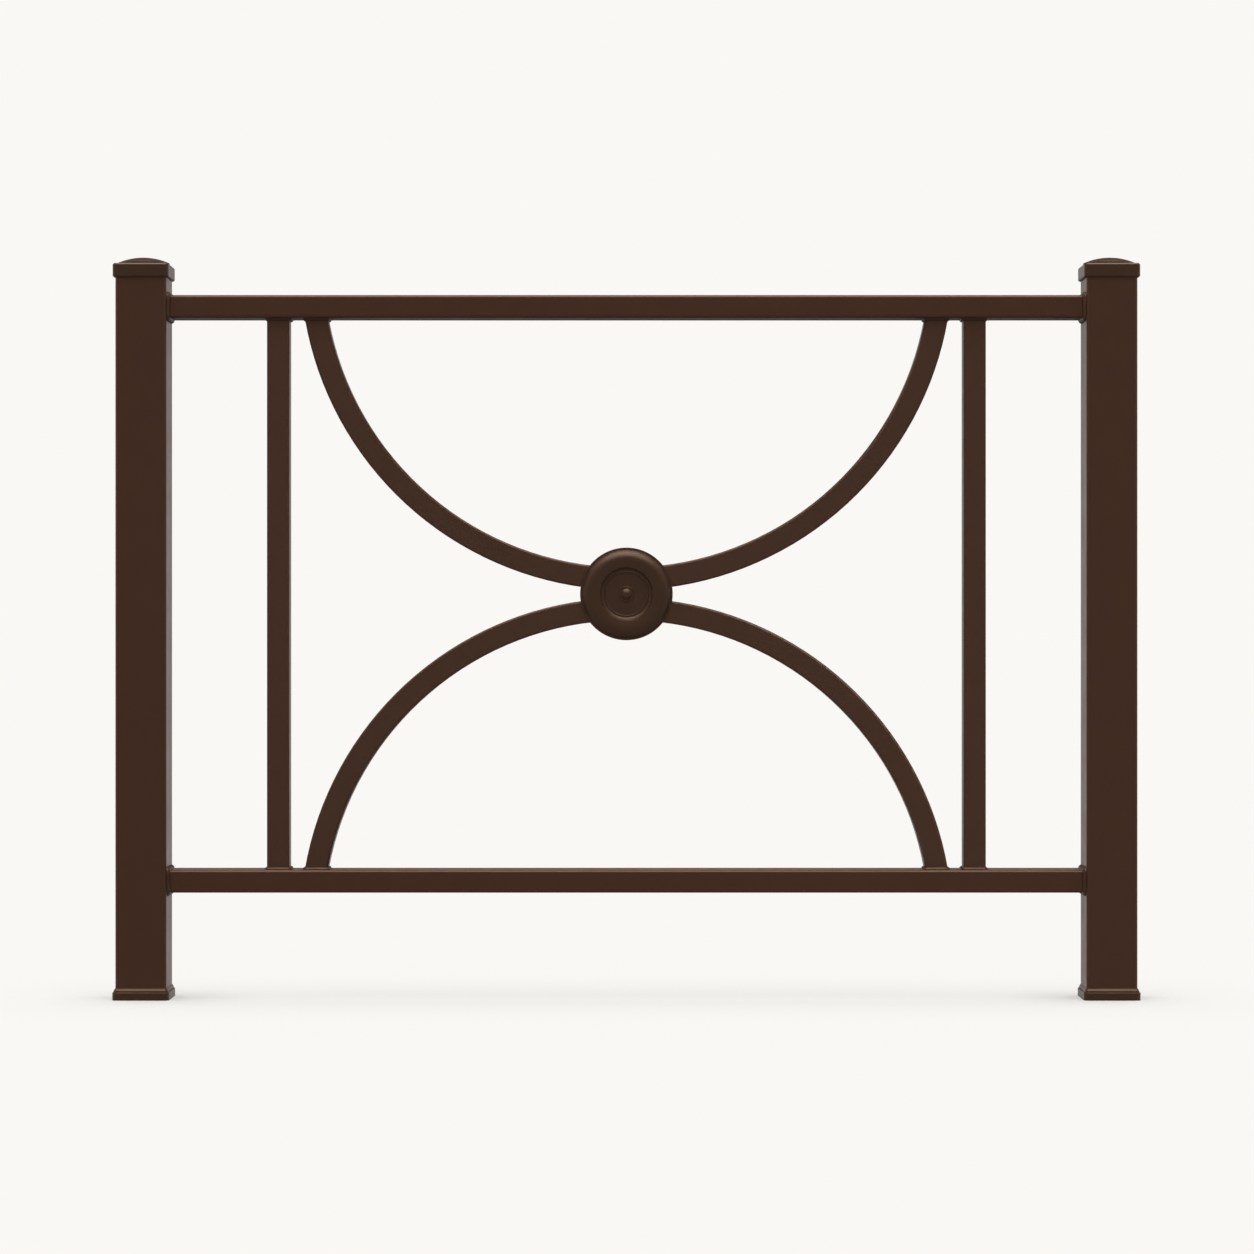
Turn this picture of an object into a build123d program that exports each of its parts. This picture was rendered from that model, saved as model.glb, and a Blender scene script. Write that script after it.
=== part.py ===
from build123d import *
import os
from math import sqrt

# Street barrier of welded steel tube, from ground level up, in millimetres.
# Origin: centre of the left post's foot, on the ground.
# +X runs along the barrier to the right post, -Y is the front and +Z is up.

# Overall layout. The rails hang from the overall height, and rail_drop is to the top rail's centre.
post_spacing = 1331.0
overall_height = 1020.5
rail_drop = 68.8
rail_spacing = 789.4

# Posts, square tube
post_width = 70.0
post_wall = 3.0
post_corner = 4.5

# Post caps: a skirt that slips over the post, and a low round dome on a short step
cap_overhang = 3.4
cap_corner = 5.0
cap_height = 19.2
cap_top_plate = 4.0
cap_clearance = 0.2
cap_edge_bevel = 2.0
cap_foot_chamfer = 1.5
cap_dome_radius = 35.5
cap_dome_step = 2.7
cap_dome_round = 1.0
cap_dome_rise = 7.6
cap_dome_wall = 8.0

# Base collars at the ground: a band with a rounded edge, a small step and a sloped top
collar_overhang = 4.0
collar_corner = 6.5
collar_band = 11.0
collar_edge_round = 1.0
collar_step_inset = 1.8
collar_step = 2.0
collar_slope = 3.0
collar_lip = 0.4
collar_clearance = 0.2

# Foot plates that close the posts
foot_plate_thickness = 8.0
foot_plate_clearance = 0.2

# Rails, flat tube laid with its broad side level
rail_depth = 50.0
rail_height = 31.5
rail_wall = 2.5
rail_corner = 4.0

# Balusters and arcs, square tube. The arcs are circles whose centres lie beyond the rails' faces.
bar_width = 31.0
bar_wall = 2.0
bar_corner = 3.0
arc_gap = 10.8
arc_centre_beyond = 75.3
arc_to_baluster = 21.0

# Rosette: two turned discs, one on each face of the arcs, and a rivet through both
rosette_radius = 63.7
rosette_flange_width = 3.0
rosette_flange = 2.0
rosette_rim_round = 0.6
rosette_thickness = 9.5
rosette_crest_radius = 48.0
rosette_lip_radius = 36.0
rosette_lip_drop = 1.3
rosette_lip_round = 0.8
rosette_recess_radius = 31.0
rosette_recess_depth = 5.3
rosette_disc_radius = 30.2
rosette_disc_step = 0.6
rosette_boss_radius = 10.5
rosette_boss_rise = 1.2
rosette_boss_bevel = 0.8
rivet_radius = 4.0
rivet_clearance = 0.2
rivet_head_radius = 7.5
rivet_head_edge = 0.8
rivet_head_rise = 3.5

# Weld fillets
rail_weld = 5.0
bar_weld = 3.5
weld_toe = 0.3

# Places worked out from the sizes above
barrier_centre = post_spacing / 2
cap_width = post_width + 2 * cap_overhang
cap_top = overall_height - cap_dome_rise - cap_dome_step
cap_bottom = cap_top - cap_height
post_top = cap_top - cap_top_plate
rail_start = post_width / 2
rail_length = post_spacing - post_width
top_rail_z = overall_height - rail_drop
bottom_rail_z = top_rail_z - rail_spacing
mid_height = (top_rail_z + bottom_rail_z) / 2
bar_bottom = bottom_rail_z + rail_height / 2
bar_top = top_rail_z - rail_height / 2
bar_face = bar_width / 2
arc_outer = bar_top - mid_height - arc_gap / 2 + arc_centre_beyond
arc_radius = arc_outer - bar_width / 2
arc_inner = arc_outer - bar_width
arc_offset = arc_outer + arc_gap / 2
arc_end = sqrt(arc_outer**2 - arc_centre_beyond**2)
baluster_offset = arc_end + arc_to_baluster + bar_width / 2
rosette_floor = rosette_thickness - rosette_recess_depth
rosette_disc = rosette_floor - rosette_disc_step
rosette_seat = rosette_disc + rosette_boss_rise

# How near in size a round edge has to be when it is picked by its radius
same_radius = 0.01

os.makedirs("parts", exist_ok=True)


def hollow_section(width, depth, corner, wall):
    """Draws a tube's section into the open sketch."""
    RectangleRounded(width, depth, corner)
    RectangleRounded(width - 2 * wall, depth - 2 * wall, corner - wall, mode=Mode.SUBTRACT)


def make_post(side, x):
    """Square tube from the ground to the underside of the cap."""
    with BuildPart() as post:
        with BuildSketch(Plane((x, 0, 0))):
            hollow_section(post_width, post_width, post_corner, post_wall)
        extrude(amount=post_top)
    post.part.label = f"{side}_post"
    export_step(post.part, f"parts/{side}_post.step")


def circles_of(piece, radius):
    """The round edges of one radius on a piece."""
    circles = piece.edges().filter_by(GeomType.CIRCLE)
    return circles.filter_by(lambda circle: abs(circle.radius - radius) < same_radius)


def make_cap(side, x):
    """Square cap over the post's end, with a low stepped dome on top that is hollow below."""
    socket_width = post_width + 2 * cap_clearance
    shoulder = cap_top + cap_dome_step
    sphere_radius = (cap_dome_radius**2 + cap_dome_rise**2) / (2 * cap_dome_rise)
    sphere_centre = overall_height - sphere_radius
    hollow_radius = sphere_radius - cap_dome_wall
    hollow_top = sphere_centre + hollow_radius
    hollow_rim = sqrt(hollow_radius**2 - (post_top - sphere_centre) ** 2)
    upright = Plane((x, 0, 0), x_dir=(1, 0, 0), z_dir=(0, -1, 0))
    with BuildPart() as cap:
        with BuildSketch(Plane((x, 0, cap_bottom))):
            RectangleRounded(cap_width, cap_width, cap_corner)
        extrude(amount=cap_height)
        chamfer(cap.faces().sort_by(Axis.Z)[-1].edges(), length=cap_edge_bevel)
        chamfer(cap.faces().sort_by(Axis.Z)[0].edges(), length=cap_foot_chamfer)
        with BuildSketch(upright):
            with BuildLine():
                Line((0, cap_top), (cap_dome_radius, cap_top))
                Line((cap_dome_radius, cap_top), (cap_dome_radius, shoulder))
                RadiusArc((cap_dome_radius, shoulder), (0, overall_height), -sphere_radius)
                Line((0, overall_height), (0, cap_top))
            make_face()
        revolve(axis=Axis((x, 0, 0), (0, 0, 1)))
        fillet(circles_of(cap, cap_dome_radius).sort_by(Axis.Z)[-1], radius=cap_dome_round)
        with BuildSketch(Plane((x, 0, cap_bottom))):
            RectangleRounded(socket_width, socket_width, post_corner + cap_clearance)
        extrude(amount=cap_height - cap_top_plate, mode=Mode.SUBTRACT)
        with BuildSketch(upright):
            with BuildLine():
                Line((0, post_top), (hollow_rim, post_top))
                RadiusArc((hollow_rim, post_top), (0, hollow_top), -hollow_radius)
                Line((0, hollow_top), (0, post_top))
            make_face()
        revolve(axis=Axis((x, 0, 0), (0, 0, 1)), mode=Mode.SUBTRACT)
    cap.part.label = f"{side}_post_cap"
    export_step(cap.part, f"parts/{side}_post_cap.step")


def make_collar(side, x):
    """Square collar round the post's foot: a rounded band, a step and a sloped top."""
    band_width = post_width + 2 * collar_overhang
    neck_width = band_width - 2 * collar_step_inset
    neck_corner = collar_corner - collar_step_inset
    inner_width = post_width + 2 * collar_clearance
    inner_corner = post_corner + collar_clearance
    top_width = inner_width + 2 * collar_lip
    slope_start = collar_band + collar_step
    collar_top = slope_start + collar_slope
    with BuildPart() as collar:
        with BuildSketch(Plane((x, 0, 0))):
            RectangleRounded(band_width, band_width, collar_corner)
        extrude(amount=collar_band)
        fillet(collar.faces().sort_by(Axis.Z)[-1].edges(), radius=collar_edge_round)
        with BuildSketch(Plane((x, 0, collar_band))):
            RectangleRounded(neck_width, neck_width, neck_corner)
        extrude(amount=collar_step)
        with BuildSketch(Plane((x, 0, slope_start))):
            RectangleRounded(neck_width, neck_width, neck_corner)
        with BuildSketch(Plane((x, 0, collar_top))):
            RectangleRounded(top_width, top_width, inner_corner + collar_lip)
        loft()
        with BuildSketch(Plane((x, 0, 0))):
            RectangleRounded(inner_width, inner_width, inner_corner)
        extrude(amount=collar_top, mode=Mode.SUBTRACT)
    collar.part.label = f"{side}_base_collar"
    export_step(collar.part, f"parts/{side}_base_collar.step")


def make_foot_plate(side, x):
    """Plate inside the post's foot, flush with the ground."""
    plate_width = post_width - 2 * post_wall - 2 * foot_plate_clearance
    with BuildPart() as foot_plate:
        with BuildSketch(Plane((x, 0, 0))):
            RectangleRounded(plate_width, plate_width, post_corner - post_wall)
        extrude(amount=foot_plate_thickness)
    foot_plate.part.label = f"{side}_foot_plate"
    export_step(foot_plate.part, f"parts/{side}_foot_plate.step")


def make_rail(name, z):
    """Flat tube between the posts' inner faces."""
    with BuildPart() as rail:
        with BuildSketch(Plane((rail_start, 0, z), x_dir=(0, 1, 0), z_dir=(1, 0, 0))):
            hollow_section(rail_depth, rail_height, rail_corner, rail_wall)
        extrude(amount=rail_length)
    rail.part.label = name
    export_step(rail.part, f"parts/{name}.step")


def make_baluster(side, x):
    """Square tube between the rails."""
    with BuildPart() as baluster:
        with BuildSketch(Plane((x, 0, bar_bottom))):
            hollow_section(bar_width, bar_width, bar_corner, bar_wall)
        extrude(amount=bar_top - bar_bottom)
    baluster.part.label = f"{side}_baluster"
    export_step(baluster.part, f"parts/{side}_baluster.step")


def make_arc(name, centre_z, turn, rail_face, keep):
    """Square tube bent to a circle and cut level where it meets its rail."""
    with BuildPart() as arc:
        with BuildSketch(Plane((barrier_centre - arc_radius, 0, centre_z))):
            hollow_section(bar_width, bar_width, bar_corner, bar_wall)
        revolve(axis=Axis((barrier_centre, 0, centre_z), (0, turn, 0)), revolution_arc=180)
        split(bisect_by=Plane.XY.offset(rail_face), keep=keep)
    arc.part.label = name
    export_step(arc.part, f"parts/{name}.step")


def make_rosette(name, turn):
    """Turned disc against the arcs: flange, rounded ring, recess, inner disc and a boss for the rivet."""
    section = Plane((barrier_centre, turn * bar_face, mid_height), x_dir=(1, 0, 0), z_dir=(0, 0, turn))
    hole_radius = rivet_radius + rivet_clearance
    ring_radius = rosette_radius - rosette_flange_width
    boss_top_radius = rosette_boss_radius - rosette_boss_bevel
    lip = (rosette_lip_radius, rosette_thickness - rosette_lip_drop)
    crest = (rosette_crest_radius, rosette_thickness)
    with BuildPart() as rosette:
        with BuildSketch(section):
            with BuildLine():
                Polyline((hole_radius, 0), (rosette_radius, 0), (rosette_radius, rosette_flange))
                Line((rosette_radius, rosette_flange), (ring_radius, rosette_flange))
                TangentArc(crest, (ring_radius, rosette_flange), tangent=(1, 0))
                TangentArc(crest, lip, tangent=(-1, 0))
                TangentArc((rosette_recess_radius, rosette_floor), lip, tangent=(1, 0))
                Line((rosette_recess_radius, rosette_floor), (rosette_disc_radius, rosette_floor))
                Line((rosette_disc_radius, rosette_floor), (rosette_disc_radius, rosette_disc))
                Line((rosette_disc_radius, rosette_disc), (rosette_boss_radius, rosette_disc))
                Line((rosette_boss_radius, rosette_disc), (boss_top_radius, rosette_seat))
                Polyline((boss_top_radius, rosette_seat), (hole_radius, rosette_seat), (hole_radius, 0))
            make_face()
        revolve(axis=Axis((barrier_centre, 0, mid_height), (0, 1, 0)))
        fillet(circles_of(rosette, rosette_lip_radius), rosette_lip_round)
        outer_rim = circles_of(rosette, rosette_radius).sort_by(lambda rim: abs(rim.center().Y))[-1]
        fillet(outer_rim, rosette_rim_round)
    rosette.part.label = name
    export_step(rosette.part, f"parts/{name}.step")


def make_rivet():
    """Shank through the gap between the arcs, with a domed head on each rosette."""
    seat = bar_face + rosette_seat
    edge = seat + rivet_head_edge
    crown = edge + rivet_head_rise
    head_sphere = (rivet_head_radius**2 + rivet_head_rise**2) / (2 * rivet_head_rise)
    with BuildPart() as rivet:
        with BuildSketch(Plane((barrier_centre, 0, mid_height))):
            with BuildLine():
                RadiusArc((0, -crown), (rivet_head_radius, -edge), -head_sphere)
                Line((rivet_head_radius, -edge), (rivet_head_radius, -seat))
                Line((rivet_head_radius, -seat), (rivet_radius, -seat))
                Line((rivet_radius, -seat), (rivet_radius, seat))
                Line((rivet_radius, seat), (rivet_head_radius, seat))
                Line((rivet_head_radius, seat), (rivet_head_radius, edge))
                RadiusArc((rivet_head_radius, edge), (0, crown), -head_sphere)
                Line((0, crown), (0, -crown))
            make_face()
        revolve(axis=Axis((barrier_centre, 0, mid_height), (0, 1, 0)))
    rivet.part.label = "rosette_rivet"
    export_step(rivet.part, "parts/rosette_rivet.step")


def make_straight_weld(name, face, width, depth, corner, leg):
    """Fillet weld round a tube that stands square on a flat face."""
    toe_plane = face.offset(leg)
    with BuildPart() as weld:
        with BuildSketch(face):
            RectangleRounded(width + 2 * leg, depth + 2 * leg, corner + leg)
        with BuildSketch(toe_plane):
            RectangleRounded(width + 2 * weld_toe, depth + 2 * weld_toe, corner + weld_toe)
        loft()
        with BuildSketch(face):
            RectangleRounded(width, depth, corner)
        extrude(amount=leg, mode=Mode.SUBTRACT)
    weld.part.label = name
    export_step(weld.part, f"parts/{name}.step")


def arc_crossing(radius, height):
    """Distance from the barrier's centre at which a circle of the arc crosses a level."""
    return sqrt(radius**2 - height**2)


def make_arc_weld(name, centre_z, turn, rail_face, side):
    """Fillet weld round an arc's end, where the tube meets the rail at a slant."""
    face = Plane((barrier_centre, 0, rail_face))
    toe_rise = arc_centre_beyond + bar_weld
    face_inner = arc_crossing(arc_inner, arc_centre_beyond)
    face_outer = arc_crossing(arc_outer, arc_centre_beyond)
    toe_inner = arc_crossing(arc_inner, toe_rise)
    toe_outer = arc_crossing(arc_outer, toe_rise)
    with BuildPart() as weld:
        with BuildSketch(face):
            with Locations((side * (face_inner + face_outer) / 2, 0)):
                RectangleRounded(
                    face_outer - face_inner + 2 * bar_weld,
                    bar_width + 2 * bar_weld,
                    bar_corner + bar_weld,
                )
        with BuildSketch(face.offset(turn * bar_weld)):
            with Locations((side * (toe_inner + toe_outer) / 2, 0)):
                RectangleRounded(
                    toe_outer - toe_inner + 2 * weld_toe,
                    bar_width + 2 * weld_toe,
                    bar_corner + weld_toe,
                )
        loft()
        with BuildSketch(Plane((barrier_centre - arc_radius, 0, centre_z))):
            RectangleRounded(bar_width, bar_width, bar_corner)
        revolve(
            axis=Axis((barrier_centre, 0, centre_z), (0, turn, 0)),
            revolution_arc=180,
            mode=Mode.SUBTRACT,
        )
    weld.part.label = name
    export_step(weld.part, f"parts/{name}.step")


for side, x in (("left", 0), ("right", post_spacing)):
    make_post(side, x)
    make_cap(side, x)
    make_collar(side, x)
    make_foot_plate(side, x)

for name, z in (("top_rail", top_rail_z), ("bottom_rail", bottom_rail_z)):
    make_rail(name, z)
    inner_left = Plane((rail_start, 0, z), x_dir=(0, 1, 0), z_dir=(1, 0, 0))
    inner_right = Plane((rail_start + rail_length, 0, z), x_dir=(0, 1, 0), z_dir=(-1, 0, 0))
    make_straight_weld(f"{name}_left_weld", inner_left, rail_depth, rail_height, rail_corner, rail_weld)
    make_straight_weld(f"{name}_right_weld", inner_right, rail_depth, rail_height, rail_corner, rail_weld)

for side, x in (
    ("left", barrier_centre - baluster_offset),
    ("right", barrier_centre + baluster_offset),
):
    make_baluster(side, x)
    foot = Plane((x, 0, bar_bottom))
    head = Plane((x, 0, bar_top), x_dir=(1, 0, 0), z_dir=(0, 0, -1))
    make_straight_weld(f"{side}_baluster_bottom_weld", foot, bar_width, bar_width, bar_corner, bar_weld)
    make_straight_weld(f"{side}_baluster_top_weld", head, bar_width, bar_width, bar_corner, bar_weld)

for name, centre_z, turn, rail_face, keep in (
    ("upper_arc", mid_height + arc_offset, -1, bar_top, Keep.BOTTOM),
    ("lower_arc", mid_height - arc_offset, 1, bar_bottom, Keep.TOP),
):
    make_arc(name, centre_z, turn, rail_face, keep)
    make_arc_weld(f"{name}_left_weld", centre_z, turn, rail_face, -1)
    make_arc_weld(f"{name}_right_weld", centre_z, turn, rail_face, 1)

make_rosette("rosette_front", -1)
make_rosette("rosette_back", 1)
make_rivet()
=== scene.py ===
"""Looks of the welded street barrier: powder coat, weld beads, studio floor, light and camera."""

from math import cos, pi, radians, sin

import bmesh
import bpy
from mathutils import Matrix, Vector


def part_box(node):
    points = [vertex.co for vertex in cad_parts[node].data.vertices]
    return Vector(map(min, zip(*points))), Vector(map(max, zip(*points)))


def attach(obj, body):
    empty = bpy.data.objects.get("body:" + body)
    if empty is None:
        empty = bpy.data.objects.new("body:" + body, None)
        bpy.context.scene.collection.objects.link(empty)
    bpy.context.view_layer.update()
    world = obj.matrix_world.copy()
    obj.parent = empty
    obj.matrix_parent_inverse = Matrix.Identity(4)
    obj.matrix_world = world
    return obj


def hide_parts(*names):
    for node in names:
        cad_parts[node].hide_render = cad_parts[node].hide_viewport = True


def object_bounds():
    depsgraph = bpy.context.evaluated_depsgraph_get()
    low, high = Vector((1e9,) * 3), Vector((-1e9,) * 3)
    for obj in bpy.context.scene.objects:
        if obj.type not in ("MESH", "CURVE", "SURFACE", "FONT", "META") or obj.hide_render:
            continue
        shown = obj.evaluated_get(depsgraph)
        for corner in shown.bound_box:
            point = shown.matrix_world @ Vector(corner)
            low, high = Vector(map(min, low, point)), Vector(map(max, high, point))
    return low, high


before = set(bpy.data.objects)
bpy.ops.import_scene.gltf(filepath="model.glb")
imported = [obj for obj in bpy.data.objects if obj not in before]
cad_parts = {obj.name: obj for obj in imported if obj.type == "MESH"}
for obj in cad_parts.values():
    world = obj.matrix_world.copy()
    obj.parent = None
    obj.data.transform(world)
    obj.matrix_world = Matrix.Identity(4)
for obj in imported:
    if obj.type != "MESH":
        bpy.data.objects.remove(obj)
cad_low, cad_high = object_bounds()
middle = (cad_low + cad_high) / 2

MM = 0.001

# Places closer together than this count as one.
NEAR = 0.01 * MM

# Sizes of the barrier itself that its whole box doesn't give.
COLLAR_OVERHANG = 4.0 * MM
HALF_POST = 35.0 * MM
HALF_SPACING = (cad_high.x - cad_low.x) / 2 - HALF_POST - COLLAR_OVERHANG

# Powder coat. The grain of real powder is finer than here, where it is drawn as coarse as it needs to show.
# The noise stays mostly between its low and its high value.
CLOUD_SIZE = 45.0 * MM
GRAIN_SIZE = 0.8 * MM
NOISE_LOW = 0.3
NOISE_HIGH = 0.7
GLOSS_DRIFT = 0.03
COAT_IOR = 1.5
COAT_SPECULAR = 0.32
COAT_TINT = "#ffe1c5"

# How much rougher the coat is on faces that look down, and the Z of the normal where that starts and is full.
UNDERSIDE_DULLNESS = 0.35
UNDERSIDE_START = -0.5
UNDERSIDE_FULL = -0.95

# Camera, with distances in metres, and the lens and sensor in millimetres. It looks level along +Y at the
# middle of the barrier.
EYE_HEIGHT = 0.5115
EYE_TO_POST_FACE = 5.0
EYE_SIDESTEP = 0.0008
LENS = 104.8
SENSOR = 36.0
FAR_CLIP = 1000.0

# Light. The sky and the softbox together give a level white floor its full white. The sky is even in part,
# and in part it grows towards the zenith. That part lights the floor two thirds as much as an even sky would,
# which the gain makes up for. The softbox is a sun lamp, so its height doesn't change its light.
SOFTBOX_SHARE = 0.08
EVEN_SHARE = 0.30
ZENITH_SHARE = 1.0 - SOFTBOX_SHARE - EVEN_SHARE
ZENITH_GAIN = 1.5
SOFTBOX_ANGLE = 22.0
SOFTBOX_TILT = 4.0
SOFTBOX_HEIGHT = 3.0

# What reflections find in the room. Wall and ceiling go by the sine of the elevation, the softbox by the
# cosine of the angle from its axis, which leans to the front, and the bright side walls by the cosine of the
# angle from X.
WALL_TOP = 0.17
CEILING_START = 0.22
CEILING_LEVEL = 0.15
SOFTBOX_LEAN = 20.0
SOFTBOX_EDGE = 0.76
SOFTBOX_CORE = 0.90
SOFTBOX_LEVEL = 9.0
SIDE_START = 0.4
SIDE_FULL = 0.8
SIDE_LEVEL = 1.5

# Floor. The share of its white that comes from real light carries the shadow, and the rest is plain.
PAPER = "#faf8f4"
POST_SHADOW_SHARE = 0.68
POST_SHADOW_NEAR = 50.0 * MM
POST_SHADOW_FAR = 150.0 * MM
RAIL_SHADOW_SHARE = 0.38
RAIL_SHADOW_NEAR = 50.0 * MM
RAIL_SHADOW_FAR = 330.0 * MM
FAR_SHADOW_SHARE = 0.08
FLOOR_SIZE = 400.0

# Weld beads. The root is how far a bead reaches into the tube and the face that it joins. The profile says
# how high a ripple is at shares of its pitch. It rises slantwise, so each of the two directions takes the
# slant's share of that. From the crown's start up, a ripple is drawn along the seam by a share of its pitch.
# A ripple's end faces are told by their normals' X and come off. The join closes the bent bead.
RIPPLE_PITCH = 2.4 * MM
RIPPLE_HEIGHT = 0.35 * MM
RIPPLE_PROFILE = ((0.25, 0.6), (0.5, 1.0), (0.75, 0.75))
RIPPLE_SLANT = 0.7
CROWN_START = 0.3
CROWN_DRAW = 0.3
BEAD_ROOT = 1.0 * MM
BEAD_TOE = 0.3 * MM
BEAD_SWELL = 0.38
BEAD_STEPS = 5
LEAN_STEPS = (0.35, 0.75)
RAIL_CORNER = 4.0 * MM
BAR_CORNER = 3.0 * MM
CORNER_STEPS = 6
SIDE_CUTS = 14
END_NORMAL = 0.9
BEAD_JOIN = 5 * NEAR

# Fine rounded ridges on each rosette, one round its inner disc and one round the boss that carries the rivet.
# Heights are from the rosette's flat back, and a ridge starts a little inside the metal. The rounding is a
# share of a ridge's width and height.
RIDGE_ROUNDING = 0.48
RIDGE_ROUND_STEPS = 6
RIDGE_TURN_STEPS = 96
DISC_RIDGE_RADIUS = 30.2 * MM
BOSS_RIDGE_RADIUS = 9.9 * MM
DISC_HEIGHT = 3.6 * MM
DISC_RIDGE_TOP = 4.8 * MM
BOSS_RIDGE_TOP = 5.2 * MM
DISC_RIDGE_WIDTH = 2.0 * MM
BOSS_RIDGE_WIDTH = 1.6 * MM
RIDGE_SEAT = 0.3 * MM

rail_welds = [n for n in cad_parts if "_rail_" in n and n.endswith("_weld")]
baluster_welds = [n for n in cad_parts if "_baluster_" in n and n.endswith("_weld")]
arc_welds = [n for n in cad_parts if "_arc_" in n and n.endswith("_weld")]
weld_nodes = rail_welds + baluster_welds + arc_welds
cast_nodes = [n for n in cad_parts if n.endswith(("_cap", "_collar")) or n.startswith("rosette_")]
bar_nodes = [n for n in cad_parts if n.endswith(("_baluster", "_arc"))]
tube_nodes = [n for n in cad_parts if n.endswith(("_post", "_rail", "_plate"))]


def linear(hex_colour):
    """An sRGB hex colour as linear red, green, blue and alpha."""
    channels = [int(hex_colour[i:i + 2], 16) / 255 for i in (1, 3, 5)]
    return tuple(c / 12.92 if c <= 0.04045 else ((c + 0.055) / 1.055) ** 2.4 for c in channels) + (1.0,)


def add_node(tree, kind, settings=None, links=None):
    """Adds a node. Settings are for properties or input sockets, and links feed inputs from other sockets."""
    node = tree.nodes.new(kind)
    for name, value in (settings or {}).items():
        if isinstance(name, str) and hasattr(node, name):
            setattr(node, name, value)
        else:
            node.inputs[name].default_value = value
    for name, source in (links or {}).items():
        tree.links.new(source, node.inputs[name])
    return node


def new_material(name):
    """An empty node material and its output node."""
    material = bpy.data.materials.new(name)
    material.use_nodes = True
    material.node_tree.nodes.clear()
    return material, add_node(material.node_tree, "ShaderNodeOutputMaterial")


def powder_coat(name, thick, thin, peel_size, peel_height, grain_height, roughness):
    """Polyester powder, sprayed on and baked: an orange-peel skin whose colour and gloss drift a little."""
    material, output = new_material(name)
    tree = material.node_tree
    surface = add_node(tree, "ShaderNodeTexCoord")
    place = surface.outputs["Object"]
    # The spray lies thicker in some places, which gives faint cloudy shading a few centimetres wide.
    clouds = add_node(
        tree,
        "ShaderNodeTexNoise",
        {"Scale": 1 / CLOUD_SIZE, "Detail": 3.0, "Roughness": 0.55},
        {"Vector": place},
    )
    # Of the Mix node's many sockets, inputs 6 and 7 are the two colours and output 2 is the mixed one.
    colour = add_node(
        tree,
        "ShaderNodeMix",
        {"data_type": "RGBA", "clamp_factor": True},
        {"Factor": clouds.outputs["Fac"]},
    )
    colour.inputs[6].default_value = linear(thick)
    colour.inputs[7].default_value = linear(thin)
    gloss = add_node(
        tree,
        "ShaderNodeMapRange",
        {
            "From Min": NOISE_LOW,
            "From Max": NOISE_HIGH,
            "To Min": roughness - GLOSS_DRIFT,
            "To Max": roughness + GLOSS_DRIFT,
        },
        {"Value": clouds.outputs["Fac"]},
    )
    # Little powder reaches the faces that look down, so there the coat is thin and dull.
    lie = add_node(tree, "ShaderNodeSeparateXYZ", {}, {"Vector": surface.outputs["Normal"]})
    dull = add_node(
        tree,
        "ShaderNodeMapRange",
        {
            "From Min": UNDERSIDE_START,
            "From Max": UNDERSIDE_FULL,
            "To Min": 0.0,
            "To Max": UNDERSIDE_DULLNESS,
        },
        {"Value": lie.outputs["Z"]},
    )
    roughness_there = add_node(
        tree,
        "ShaderNodeMath",
        {"operation": "ADD"},
        {0: gloss.outputs["Result"], 1: dull.outputs["Result"]},
    )
    # Orange peel ripples the reflections, and the fine grain of the powder breaks them up.
    peel = add_node(
        tree,
        "ShaderNodeTexNoise",
        {"Scale": 1 / peel_size, "Detail": 1.0, "Roughness": 0.4},
        {"Vector": place},
    )
    grain = add_node(tree, "ShaderNodeTexNoise", {"Scale": 1 / GRAIN_SIZE, "Detail": 1.0}, {"Vector": place})
    peel_bump = add_node(
        tree,
        "ShaderNodeBump",
        {"Strength": 1.0, "Distance": peel_height},
        {"Height": peel.outputs["Fac"]},
    )
    grain_bump = add_node(
        tree,
        "ShaderNodeBump",
        {"Strength": 1.0, "Distance": grain_height},
        {"Height": grain.outputs["Fac"], "Normal": peel_bump.outputs["Normal"]},
    )
    coat = add_node(
        tree,
        "ShaderNodeBsdfPrincipled",
        {"IOR": COAT_IOR, "Specular IOR Level": COAT_SPECULAR, "Specular Tint": linear(COAT_TINT)},
        {
            "Base Color": colour.outputs[2],
            "Roughness": roughness_there.outputs[0],
            "Normal": grain_bump.outputs["Normal"],
        },
    )
    tree.links.new(coat.outputs["BSDF"], output.inputs["Surface"])
    return material


def dress(nodes, material):
    """Gives carried-over nodes their finish."""
    for node in nodes:
        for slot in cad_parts[node].material_slots:
            slot.material = material


def pick(kind, test):
    """In edit mode, selects only the vertices, edges or faces that pass a test."""
    bpy.ops.mesh.select_mode(type=kind)
    bpy.ops.mesh.select_all(action="DESELECT")
    mesh = bpy.context.object.data
    work = bmesh.from_edit_mesh(mesh)
    for part in {"VERT": work.verts, "EDGE": work.edges, "FACE": work.faces}[kind]:
        if test(part):
            part.select_set(True)
    work.select_flush_mode()
    bmesh.update_edit_mesh(mesh)


def runs_along_x(edge):
    """Whether an edge runs along X."""
    start, end = (corner.co for corner in edge.verts)
    return abs(end.y - start.y) < NEAR and abs(end.z - start.z) < NEAR


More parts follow.
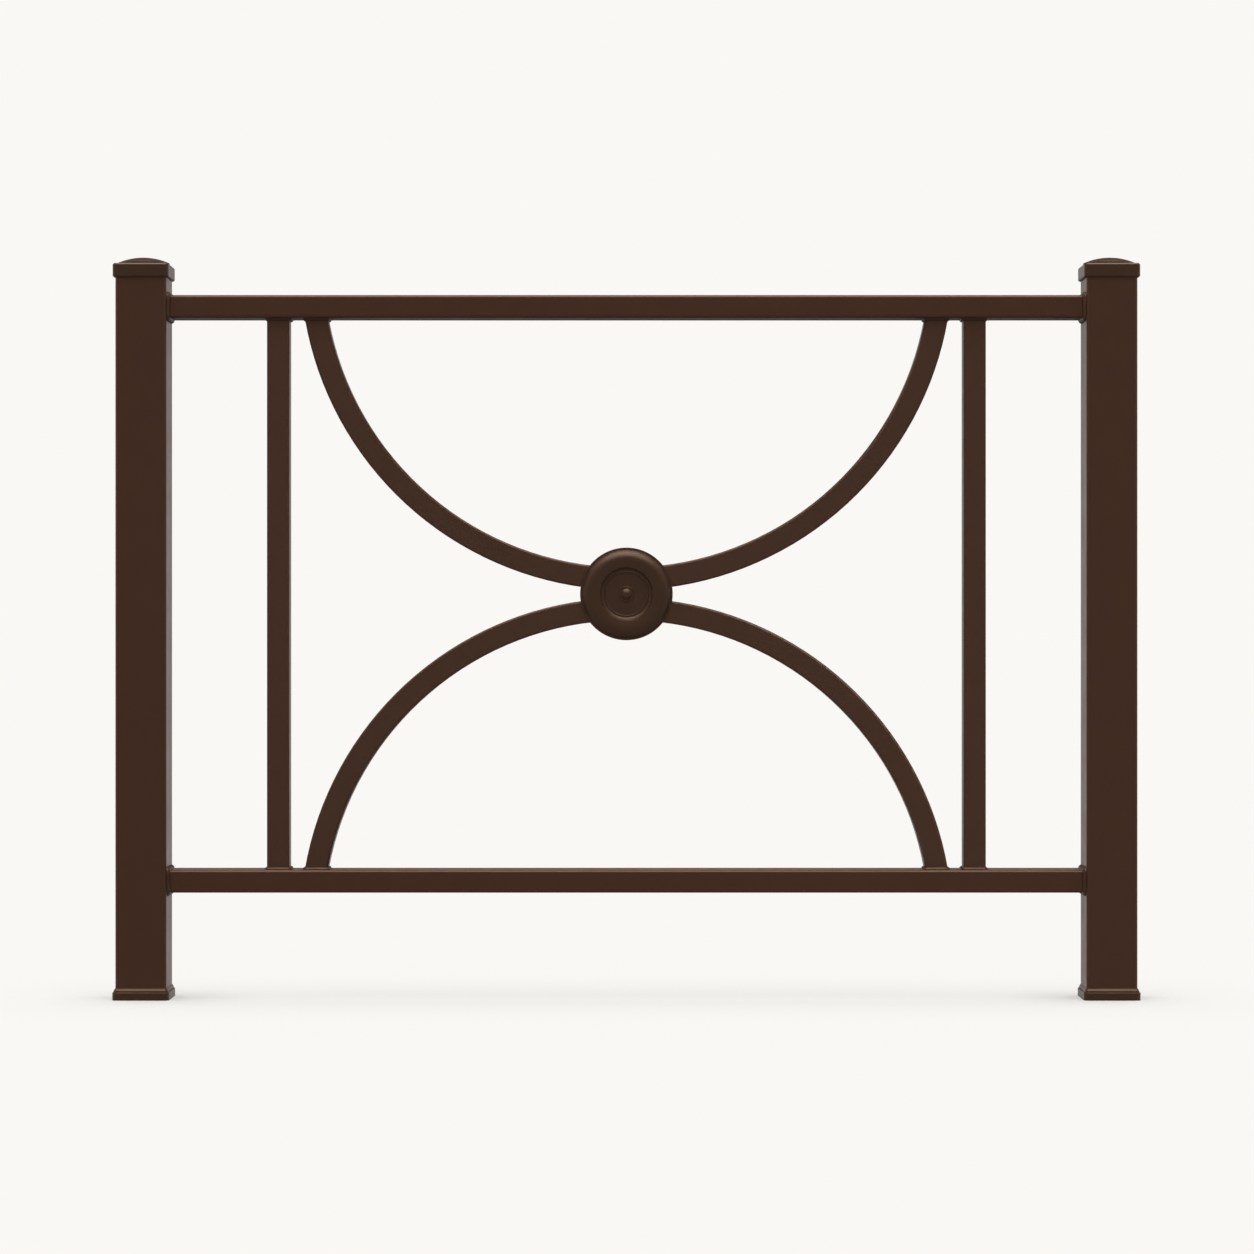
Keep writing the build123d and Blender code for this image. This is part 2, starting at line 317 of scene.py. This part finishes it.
def bead_ripple(pitch, leg):
    """One ripple of a bead along X, against a tube's face at Y 0 and a flat face at Z 0."""
    body = leg - RIPPLE_HEIGHT
    side = body + BEAD_ROOT
    centre = (body - BEAD_ROOT) / 2
    bpy.ops.mesh.primitive_cube_add(size=1, location=(pitch / 2, centre, centre))
    ripple = bpy.context.object
    ripple.scale = (pitch, side, side)
    bpy.ops.object.transform_apply()
    bpy.ops.object.mode_set(mode="EDIT")
    pick("EDGE", lambda e: runs_along_x(e) and min(v.co.y + v.co.z for v in e.verts) > 2 * body - NEAR)
    bpy.ops.mesh.bevel(offset=body - BEAD_TOE, segments=BEAD_STEPS, profile=BEAD_SWELL, affect="EDGES")
    pick("FACE", lambda f: abs(f.normal.x) > END_NORMAL)
    bpy.ops.mesh.delete(type="FACE")
    pick("EDGE", runs_along_x)
    bpy.ops.mesh.subdivide(number_cuts=len(RIPPLE_PROFILE))
    for share, lift in RIPPLE_PROFILE:
        pick("VERT", lambda v: abs(v.co.x - share * pitch) < NEAR and min(v.co.y, v.co.z) > BEAD_TOE + NEAR)
        rise = lift * RIPPLE_HEIGHT * RIPPLE_SLANT
        bpy.ops.transform.translate(value=(0, rise, rise))
    pick("VERT", lambda v: min(v.co.y, v.co.z) > CROWN_START * body)
    bpy.ops.transform.translate(value=(CROWN_DRAW * pitch, 0, 0))
    bpy.ops.object.mode_set(mode="OBJECT")
    return ripple


def ring_path(width, depth, corner):
    """The outline of a tube as a closed curve round the origin."""
    bpy.ops.mesh.primitive_plane_add(size=1)
    path = bpy.context.object
    path.scale = (width, depth, 1)
    bpy.ops.object.transform_apply()
    bpy.ops.object.mode_set(mode="EDIT")
    bpy.ops.mesh.select_all(action="SELECT")
    bpy.ops.mesh.bevel(offset=corner, segments=CORNER_STEPS, affect="VERTICES")
    pick("EDGE", lambda e: e.calc_length() > 2 * corner)
    bpy.ops.mesh.subdivide(number_cuts=SIDE_CUTS)
    bpy.ops.mesh.select_all(action="SELECT")
    bpy.ops.mesh.delete(type="ONLY_FACE")
    bpy.ops.object.mode_set(mode="OBJECT")
    bpy.ops.object.convert(target="CURVE")
    bpy.ops.object.mode_set(mode="EDIT")
    bpy.ops.curve.select_all(action="SELECT")
    bpy.ops.curve.switch_direction()
    bpy.ops.object.mode_set(mode="OBJECT")
    return path


def apply_modifier(piece, kind, settings):
    """Adds a modifier with its settings and applies it."""
    modifier = piece.modifiers.new(kind.lower(), kind)
    for name, value in settings.items():
        setattr(modifier, name, value)
    bpy.ops.object.modifier_apply(modifier=modifier.name)


def copy_of(original, name):
    """A copy of an object with its own mesh, left selected and active."""
    bpy.ops.object.select_all(action="DESELECT")
    original.select_set(True)
    bpy.context.view_layer.objects.active = original
    bpy.ops.object.duplicate(linked=False)
    copy = bpy.context.object
    copy.name = name
    return copy


def bead_ring(node, corner, lean):
    """A bead round a tube's end, as large as the CAD weld, with the tube's axis along Z."""
    low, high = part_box(node)
    across, deep, tall = high - low
    leg = min(across, tall)
    width = max(across, tall) - 2 * leg
    depth = deep - 2 * leg
    path = ring_path(width, depth, corner)
    length = path.data.splines[0].calc_length()
    count = round(length / RIPPLE_PITCH)
    pitch = length / count
    ring = bead_ripple(pitch, leg)
    apply_modifier(
        ring,
        "ARRAY",
        {
            "count": count,
            "use_relative_offset": False,
            "use_constant_offset": True,
            "constant_offset_displace": (pitch, 0, 0),
            "use_merge_vertices": True,
            "merge_threshold": NEAR,
        },
    )
    apply_modifier(ring, "CURVE", {"object": path, "deform_axis": "POS_X"})
    bpy.ops.object.mode_set(mode="EDIT")
    bpy.ops.mesh.select_all(action="SELECT")
    bpy.ops.mesh.remove_doubles(threshold=BEAD_JOIN)
    bpy.ops.mesh.normals_make_consistent(inside=False)
    # The bead leans with the tube: what is above each step moves by one more part of the lean.
    for share in LEAN_STEPS:
        pick("VERT", lambda v: v.co.z > share * leg)
        bpy.ops.transform.translate(value=(lean * leg / len(LEAN_STEPS), 0, 0))
    bpy.ops.object.mode_set(mode="OBJECT")
    bpy.ops.object.shade_smooth()
    bpy.data.objects.remove(path)
    return ring


def lay_beads(nodes, corner, lean, material):
    """Models one bead and copies it to each of the CAD welds, for which the copies stand."""
    ring = bead_ring(nodes[0], corner, lean)
    ring.data.materials.append(material)
    for node in nodes:
        bead = copy_of(ring, f"{node}_bead")
        low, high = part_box(node)
        centre = (low + high) / 2
        inward = middle - centre
        if node in rail_welds:
            bead.location = (low.x if inward.x > 0 else high.x, centre.y, centre.z)
            bead.rotation_euler = (0, pi / 2 if inward.x > 0 else -pi / 2, 0)
        else:
            bead.location = (centre.x, centre.y, low.z if inward.z > 0 else high.z)
            bead.rotation_euler = (0 if inward.z > 0 else pi, 0, 0 if inward.x > 0 else pi)
        bpy.ops.object.transform_apply()
        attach(bead, "root")
        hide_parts(node)
    bpy.data.objects.remove(ring)


def rosette_ridges(name, radius, width, top, material):
    """A fine rounded ridge of a given radius, width and top on each rosette."""
    bpy.ops.object.select_all(action="DESELECT")
    bpy.ops.mesh.primitive_plane_add(size=1)
    ridge = bpy.context.object
    bpy.ops.object.mode_set(mode="EDIT")
    pick("VERT", lambda v: v.co.y > 0)
    bpy.ops.mesh.bevel(offset=RIDGE_ROUNDING, segments=RIDGE_ROUND_STEPS, affect="VERTICES")
    bpy.ops.mesh.select_all(action="SELECT")
    bpy.ops.mesh.delete(type="ONLY_FACE")
    bpy.ops.object.mode_set(mode="OBJECT")
    # The outline now lies in a plane through the rosette's axis, with its rounded side away from the arcs.
    foot = DISC_HEIGHT - RIDGE_SEAT
    ridge.scale = (width, top - foot, 1)
    ridge.location = (radius, (foot + top) / 2, 0)
    bpy.ops.object.transform_apply()
    bpy.ops.object.mode_set(mode="EDIT")
    bpy.ops.mesh.select_all(action="SELECT")
    bpy.ops.mesh.spin(steps=RIDGE_TURN_STEPS, angle=2 * pi, center=(0, 0, 0), axis=(0, 1, 0))
    bpy.ops.mesh.select_all(action="SELECT")
    bpy.ops.mesh.remove_doubles(threshold=NEAR)
    bpy.ops.mesh.normals_make_consistent(inside=False)
    bpy.ops.object.mode_set(mode="OBJECT")
    bpy.ops.object.shade_smooth()
    ridge.data.materials.append(material)
    for node, turn in (("rosette_back", 0.0), ("rosette_front", pi)):
        copy = copy_of(ridge, f"{node}_{name}")
        low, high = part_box(node)
        centre = (low + high) / 2
        copy.location = (centre.x, low.y if turn == 0.0 else high.y, centre.z)
        copy.rotation_euler = (0, 0, turn)
        bpy.ops.object.transform_apply()
        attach(copy, "root")
    bpy.data.objects.remove(ridge)


def arc_lean():
    """How far an arc's end leans inward for each unit of height, from the size of its box."""
    low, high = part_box("upper_arc")
    reach = (high.x - low.x) / 2
    rise = high.z - low.z
    radius = (reach**2 + rise**2) / (2 * rise)
    return (radius - rise) / reach


def place_camera():
    """Camera at the photograph's viewing angle."""
    post_face = cad_low.y + COLLAR_OVERHANG
    bpy.ops.object.camera_add(
        location=(middle.x + EYE_SIDESTEP, post_face - EYE_TO_POST_FACE, EYE_HEIGHT),
        rotation=(pi / 2, 0, 0),
    )
    camera = bpy.context.object
    camera.name = "camera"
    camera.data.lens = LENS
    camera.data.sensor_width = SENSOR
    camera.data.clip_end = FAR_CLIP
    bpy.context.scene.camera = camera


def shown_rays(tree):
    """One for rays that show the room: to the camera, in reflections and through glass."""
    path = add_node(tree, "ShaderNodeLightPath")
    seen = add_node(
        tree,
        "ShaderNodeMath",
        {"operation": "MAXIMUM"},
        {0: path.outputs["Is Camera Ray"], 1: path.outputs["Is Glossy Ray"]},
    )
    shown = add_node(
        tree,
        "ShaderNodeMath",
        {"operation": "MAXIMUM"},
        {0: seen.outputs[0], 1: path.outputs["Is Transmission Ray"]},
    )
    return shown.outputs[0]


def shadow_share(tree):
    """How much of the paper's white is real light: most beside the posts, and little far from the barrier."""
    place = add_node(tree, "ShaderNodeTexCoord").outputs["Object"]
    axes = add_node(tree, "ShaderNodeSeparateXYZ", {}, {"Vector": place})
    along = add_node(tree, "ShaderNodeMath", {"operation": "ABSOLUTE"}, {0: axes.outputs["X"]})
    past_post = add_node(
        tree, "ShaderNodeMath", {"operation": "SUBTRACT", 1: HALF_SPACING}, {0: along.outputs[0]}
    )
    past_end = add_node(tree, "ShaderNodeMath", {"operation": "MAXIMUM", 1: 0.0}, {0: past_post.outputs[0]})
    shares = []
    for x, near, far, near_share, far_share in (
        (past_post, POST_SHADOW_NEAR, POST_SHADOW_FAR, POST_SHADOW_SHARE, RAIL_SHADOW_SHARE),
        (past_end, RAIL_SHADOW_NEAR, RAIL_SHADOW_FAR, 1.0, FAR_SHADOW_SHARE),
    ):
        offset = add_node(tree, "ShaderNodeCombineXYZ", {}, {"X": x.outputs[0], "Y": axes.outputs["Y"]})
        distance = add_node(
            tree, "ShaderNodeVectorMath", {"operation": "LENGTH"}, {0: offset.outputs["Vector"]}
        )
        share = add_node(
            tree,
            "ShaderNodeMapRange",
            {"From Min": near, "From Max": far, "To Min": near_share, "To Max": far_share},
            {"Value": distance.outputs["Value"]},
        )
        shares.append(share.outputs["Result"])
    both = add_node(tree, "ShaderNodeMath", {"operation": "MULTIPLY"}, {0: shares[0], 1: shares[1]})
    return both.outputs[0]


def paper_floor():
    """Endless pale paper that keeps the object's soft shadow."""
    bpy.ops.mesh.primitive_plane_add(size=FLOOR_SIZE, location=(middle.x, 0, 0))
    floor = bpy.context.object
    floor.name = "floor"
    material, output = new_material("matt studio paper")
    tree = material.node_tree
    shown = shown_rays(tree)
    lit_share = add_node(
        tree,
        "ShaderNodeMix",
        {"data_type": "FLOAT", "A": RAIL_SHADOW_SHARE},
        {"Factor": shown, "B": shadow_share(tree)},
    )
    glow_share = add_node(
        tree, "ShaderNodeMath", {"operation": "SUBTRACT", 0: 1.0}, {1: lit_share.outputs[0]}
    )
    glow = add_node(tree, "ShaderNodeMath", {"operation": "MULTIPLY"}, {0: glow_share.outputs[0], 1: shown})
    lit = add_node(tree, "ShaderNodeBsdfDiffuse", {}, {"Color": lit_share.outputs[0]})
    plain = add_node(tree, "ShaderNodeEmission", {"Color": linear(PAPER)}, {"Strength": glow.outputs[0]})
    both = add_node(tree, "ShaderNodeAddShader", {}, {0: lit.outputs["BSDF"], 1: plain.outputs["Emission"]})
    tree.links.new(both.outputs[0], output.inputs["Surface"])
    floor.data.materials.append(material)


def studio_world():
    """A sky lights the object, reflections find the room, and the camera sees an even backdrop."""
    world = bpy.data.worlds.new("studio")
    bpy.context.scene.world = world
    world.use_nodes = True
    world.cycles.sampling_method = "NONE"
    tree = world.node_tree
    tree.nodes.clear()
    direction = add_node(tree, "ShaderNodeTexCoord").outputs["Generated"]
    axes = add_node(tree, "ShaderNodeSeparateXYZ", {}, {"Vector": direction})
    wall = add_node(
        tree,
        "ShaderNodeMapRange",
        {"From Min": WALL_TOP, "From Max": CEILING_START, "To Min": 1.0, "To Max": CEILING_LEVEL},
        {"Value": axes.outputs["Z"]},
    )
    lean = radians(SOFTBOX_LEAN)
    facing = add_node(
        tree,
        "ShaderNodeVectorMath",
        {"operation": "DOT_PRODUCT", 1: (0.0, -sin(lean), cos(lean))},
        {0: direction},
    )
    softbox = add_node(
        tree,
        "ShaderNodeMapRange",
        {"From Min": SOFTBOX_EDGE, "From Max": SOFTBOX_CORE, "To Min": 0.0, "To Max": SOFTBOX_LEVEL},
        {"Value": facing.outputs["Value"]},
    )
    sideways = add_node(tree, "ShaderNodeMath", {"operation": "ABSOLUTE"}, {0: axes.outputs["X"]})
    side_wall = add_node(
        tree,
        "ShaderNodeMapRange",
        {"From Min": SIDE_START, "From Max": SIDE_FULL, "To Min": 0.0, "To Max": SIDE_LEVEL},
        {"Value": sideways.outputs[0]},
    )
    walls = add_node(
        tree,
        "ShaderNodeMath",
        {"operation": "MAXIMUM"},
        {0: wall.outputs["Result"], 1: side_wall.outputs["Result"]},
    )
    room = add_node(
        tree,
        "ShaderNodeMath",
        {"operation": "MAXIMUM"},
        {0: walls.outputs[0], 1: softbox.outputs["Result"]},
    )
    sky = add_node(
        tree,
        "ShaderNodeMath",
        {"operation": "MULTIPLY_ADD", 1: ZENITH_GAIN * ZENITH_SHARE, 2: EVEN_SHARE},
        {0: axes.outputs["Z"]},
    )
    strength = add_node(
        tree,
        "ShaderNodeMix",
        {"data_type": "FLOAT"},
        {"Factor": shown_rays(tree), "A": sky.outputs[0], "B": room.outputs[0]},
    )
    # The camera itself sees one even backdrop, as white as the floor, so no horizon shows from any side.
    path = add_node(tree, "ShaderNodeLightPath")
    seen = add_node(
        tree,
        "ShaderNodeMix",
        {"data_type": "FLOAT", "B": 1.0},
        {"Factor": path.outputs["Is Camera Ray"], "A": strength.outputs[0]},
    )
    background = add_node(
        tree, "ShaderNodeBackground", {"Color": linear(PAPER)}, {"Strength": seen.outputs[0]}
    )
    output = add_node(tree, "ShaderNodeOutputWorld")
    tree.links.new(background.outputs[0], output.inputs["Surface"])


def overhead_softbox():
    """Large soft lamp above, a little in front."""
    bpy.ops.object.light_add(
        type="SUN",
        location=(0, 0, SOFTBOX_HEIGHT),
        rotation=(radians(SOFTBOX_TILT), 0, 0),
    )
    lamp = bpy.context.object
    lamp.name = "overhead_softbox"
    lamp.data.angle = radians(SOFTBOX_ANGLE)
    lamp.data.energy = SOFTBOX_SHARE * pi
    lamp.data.color = linear(PAPER)[:3]


bpy.ops.object.select_all(action="DESELECT")
place_camera()
paper_floor()
studio_world()
overhead_softbox()

# Drawn tube is smooth under the coat, so only the coat's own peel shows.
tube_coat = powder_coat(
    "brown_satin_powder_coat_on_tube",
    thick="#3a2016",
    thin="#3f251a",
    peel_size=4.0 * MM,
    peel_height=0.025 * MM,
    grain_height=0.003 * MM,
    roughness=0.42,
)
# The bars' coat is a little paler than the tubes'.
bar_coat = powder_coat(
    "brown_satin_powder_coat_on_bars",
    thick="#3d251c",
    thin="#432b21",
    peel_size=4.0 * MM,
    peel_height=0.025 * MM,
    grain_height=0.003 * MM,
    roughness=0.42,
)
# Castings keep a trace of the sand's grain, which breaks up their gloss. Their coat is a little darker than
# the tubes'.
cast_coat = powder_coat(
    "brown_satin_powder_coat_on_castings",
    thick="#2f1b12",
    thin="#341f15",
    peel_size=3.0 * MM,
    peel_height=0.04 * MM,
    grain_height=0.008 * MM,
    roughness=0.42,
)
# Over the beads the powder builds up unevenly.
weld_coat = powder_coat(
    "brown_satin_powder_coat_on_welds",
    thick="#341d13",
    thin="#3c2319",
    peel_size=2.0 * MM,
    peel_height=0.05 * MM,
    grain_height=0.006 * MM,
    roughness=0.45,
)
dress(tube_nodes, tube_coat)
dress(bar_nodes, bar_coat)
dress(cast_nodes, cast_coat)
dress(weld_nodes, weld_coat)

lay_beads(rail_welds, RAIL_CORNER, 0.0, weld_coat)
lay_beads(baluster_welds, BAR_CORNER, 0.0, weld_coat)
lay_beads(arc_welds, BAR_CORNER, arc_lean(), weld_coat)
rosette_ridges("disc_ridge", DISC_RIDGE_RADIUS, DISC_RIDGE_WIDTH, DISC_RIDGE_TOP, cast_coat)
rosette_ridges("boss_ridge", BOSS_RIDGE_RADIUS, BOSS_RIDGE_WIDTH, BOSS_RIDGE_TOP, cast_coat)

bpy.context.scene.view_settings.view_transform = "Standard"
